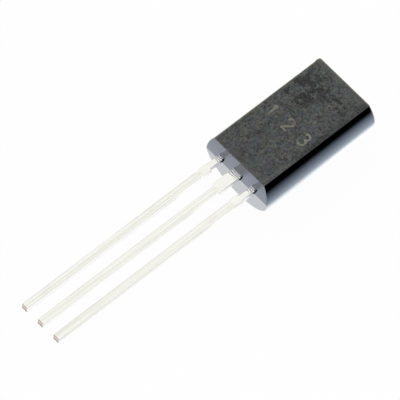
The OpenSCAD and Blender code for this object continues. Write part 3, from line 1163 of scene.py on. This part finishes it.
def glossy_card(board, place):
    """What gloss sees: a card that is brightest beside the part and falls off into the dark of the room."""
    parts = board.split(place)
    along = board.subtract(parts["Y"], BODY_LOW.y)
    beside = board.maximum(board.subtract(board.absolute(parts["X"]), BACK_RADIUS), 0.0)
    leads = board.ramp(along, 0.75 * MM, 0.45 * MM)
    reach = card_reach(board, along, beside, leads)
    fall = board.maths("POWER", board.ramp(reach, 12.2 * MM, 0.9 * MM), 1.75)
    # Far out the card goes on round the object, apart from the dark gap of the tent on the far right
    outward = board.vector("NORMALIZE", board.vector("MULTIPLY", place, (1.0, 1.0, 0.0)))
    far = board.multiply(outside_gap(board, outward), board.ramp(reach, 3 * MM, 9 * MM))
    fall = board.maximum(fall, board.multiply(far, 0.35))
    strength = board.multiply(fall, card_brightness(board, along, beside))
    tint = card_tint(board, parts["X"], along, beside, leads, reach)
    return board.node("ShaderNodeEmission", {"Color": tint, "Strength": strength}).outputs[0]


def studio_floor(settings):
    material = bpy.data.materials.new("Pale floor")
    material.use_nodes = True
    board = Board(material.node_tree)
    place = board.node("ShaderNodeNewGeometry").outputs["Position"]
    fibre = board.noise(place, 900.0, 3.0, 0.6)
    tone = board.blend(board.multiply(fibre, 0.02), rgba(settings.floor_colour), (0.8, 0.8, 0.8, 1.0))
    matt = board.node("ShaderNodeBsdfDiffuse", {"Color": tone}).outputs[0]
    white = board.node("ShaderNodeEmission", {"Color": WHITE, "Strength": 1.0}).outputs[0]
    # Most of what the camera sees is plain white, and the rest keeps the soft shadow
    seen = board.shader_blend(0.965, matt, white)
    path = board.node("ShaderNodeLightPath").outputs
    shiny = board.shader_blend(path["Is Glossy Ray"], matt, glossy_card(board, place))
    clear = board.shader_blend(path["Is Transmission Ray"], shiny, white)
    final = board.shader_blend(path["Is Camera Ray"], clear, seen)
    board.node("ShaderNodeOutputMaterial", {"Surface": final})
    return material


def studio_world(settings):
    world = bpy.data.worlds.new("Light tent")
    world.use_nodes = True
    board = Board(world.node_tree)
    direction = board.node("ShaderNodeTexCoord").outputs["Generated"]
    path = board.node("ShaderNodeLightPath").outputs
    glossy = path["Is Glossy Ray"]
    seen = board.maximum(path["Is Camera Ray"], path["Is Transmission Ray"])
    # The tent is lit all round, apart from a dark gap at its foot on the far right
    low_edge = board.multiply_add(outside_gap(board, direction), -0.45, 0.12)
    rising = board.ramp(board.split(direction)["Z"], low_edge, 0.72)
    # The lamp itself fills the top, so the tent is left out there
    rim = math.cos(math.atan(settings.lamp_diameter / 2 / settings.lamp_distance))
    outside = board.ramp(board.vector("DOT_PRODUCT", direction, LAMP_TOWARD), rim + 0.01, rim - 0.02)
    # The tent's door stands open on the side of the leads
    door_rim, door_heart = math.cos(math.radians(25)), math.cos(math.radians(12))
    door = board.ramp(board.vector("DOT_PRODUCT", direction, DOOR_TOWARD), door_rim, door_heart, 1.0, 0.62)
    tent = board.multiply(board.multiply(board.multiply(rising, outside), door), 0.85)
    dull = board.multiply(board.subtract(1.0, glossy), settings.ambient)
    level = board.add(board.multiply(glossy, tent), dull)
    strength = board.add(seen, board.multiply(board.subtract(1.0, seen), level))
    sky = board.node("ShaderNodeBackground", {"Color": WHITE, "Strength": strength}).outputs[0]
    board.node("ShaderNodeOutputWorld", {"Surface": sky})
    return world


def add_floor(settings):
    """A plain square floor under the part, which is too big to show its edge."""
    under = Vector((0, 0, BODY_LOW.z))
    corners = [Vector((x, y, 0)) for x, y in ((-1, -1), (1, -1), (1, 1), (-1, 1))]
    rings = [[under + reach * corner for corner in corners] for reach in (FLOOR_REACH, FLOOR_REACH / 2)]
    floor = linked_object("floor", skin("floor", rings, end=under), studio_floor(settings))


def add_softbox(settings):
    lamp = bpy.data.lights.new("softbox", "AREA")
    lamp.shape = "DISK"
    lamp.size = settings.lamp_diameter
    # A lamp of one square metre and this radiance gives off pi times as many watts
    lamp.energy = settings.lamp_radiance * math.pi * math.pi * (lamp.size / 2) ** 2
    softbox = linked_object("softbox", lamp)
    softbox.location = (BODY_LOW + BODY_HIGH) / 2 + settings.lamp_distance * LAMP_TOWARD
    softbox.rotation_euler = LAMP_TOWARD.to_track_quat("Z", "Y").to_euler()


def add_camera(settings):
    # The camera looks along its own -Z, so it starts out looking straight down with Y up the picture
    turn = (Matrix.Rotation(settings.camera_azimuth + math.pi / 2, 3, "Z")
            @ Matrix.Rotation(math.pi / 2 - settings.camera_elevation, 3, "X")
            @ Matrix.Rotation(settings.camera_roll, 3, "Z"))
    right, up, back = turn.col
    aim = Vector((0, BODY_LOW.y, PARTING_Z)) - right * settings.picture_right - up * settings.picture_up
    lens = bpy.data.cameras.new("camera")
    lens.lens = lens.sensor_width * settings.camera_distance / settings.view_width
    camera = linked_object("camera", lens)
    camera.matrix_world = Matrix.Translation(aim + back * settings.camera_distance) @ turn.to_4x4()
    bpy.context.scene.camera = camera


class TRANSISTOR_OT_studio(bpy.types.Operator):
    """Set up the pale floor, the soft overhead lamp, the tent and the camera"""

    bl_idname = "transistor.studio"
    bl_label = "Studio"

    def execute(self, context):
        settings = context.scene.transistor_studio
        context.scene.view_settings.view_transform = "Standard"
        context.scene.world = studio_world(settings)
        add_floor(settings)
        add_softbox(settings)
        add_camera(settings)
        return {"FINISHED"}


# ---- Panel and registration ----

STEPS = (TRANSISTOR_OT_studio, TRANSISTOR_OT_moulding, TRANSISTOR_OT_leads, TRANSISTOR_OT_flash,
         TRANSISTOR_OT_numbers, TRANSISTOR_OT_chip)
SETTINGS = {
    "transistor_moulding": MouldingSettings,
    "transistor_leads": LeadSettings,
    "transistor_numbers": NumberSettings,
    "transistor_studio": StudioSettings,
}


class TRANSISTOR_PT_panel(bpy.types.Panel):
    """Lists the steps that dress the transistor, with their sizes and colours"""

    bl_idname = "TRANSISTOR_PT_panel"
    bl_label = "Transistor"
    bl_space_type = "VIEW_3D"
    bl_region_type = "UI"
    bl_category = "Transistor"

    def draw(self, context):
        for step in STEPS:
            self.layout.operator(step.bl_idname)
        for name, group in SETTINGS.items():
            box = self.layout.box()
            box.label(text=group.__doc__)
            for key in group.__annotations__:
                box.prop(getattr(context.scene, name), key)


def register():
    for group in (*SETTINGS.values(), *STEPS, TRANSISTOR_PT_panel):
        bpy.utils.register_class(group)
    for name, group in SETTINGS.items():
        setattr(bpy.types.Scene, name, PointerProperty(type=group))


def unregister():
    for name in SETTINGS:
        delattr(bpy.types.Scene, name)
    for group in reversed((*SETTINGS.values(), *STEPS, TRANSISTOR_PT_panel)):
        bpy.utils.unregister_class(group)


def main():
    register()
    bpy.ops.transistor.studio()
    bpy.ops.transistor.moulding()
    bpy.ops.transistor.leads()
    bpy.ops.transistor.flash()
    bpy.ops.transistor.numbers()
    bpy.ops.transistor.chip()


if __name__ == "__main__":
    main()
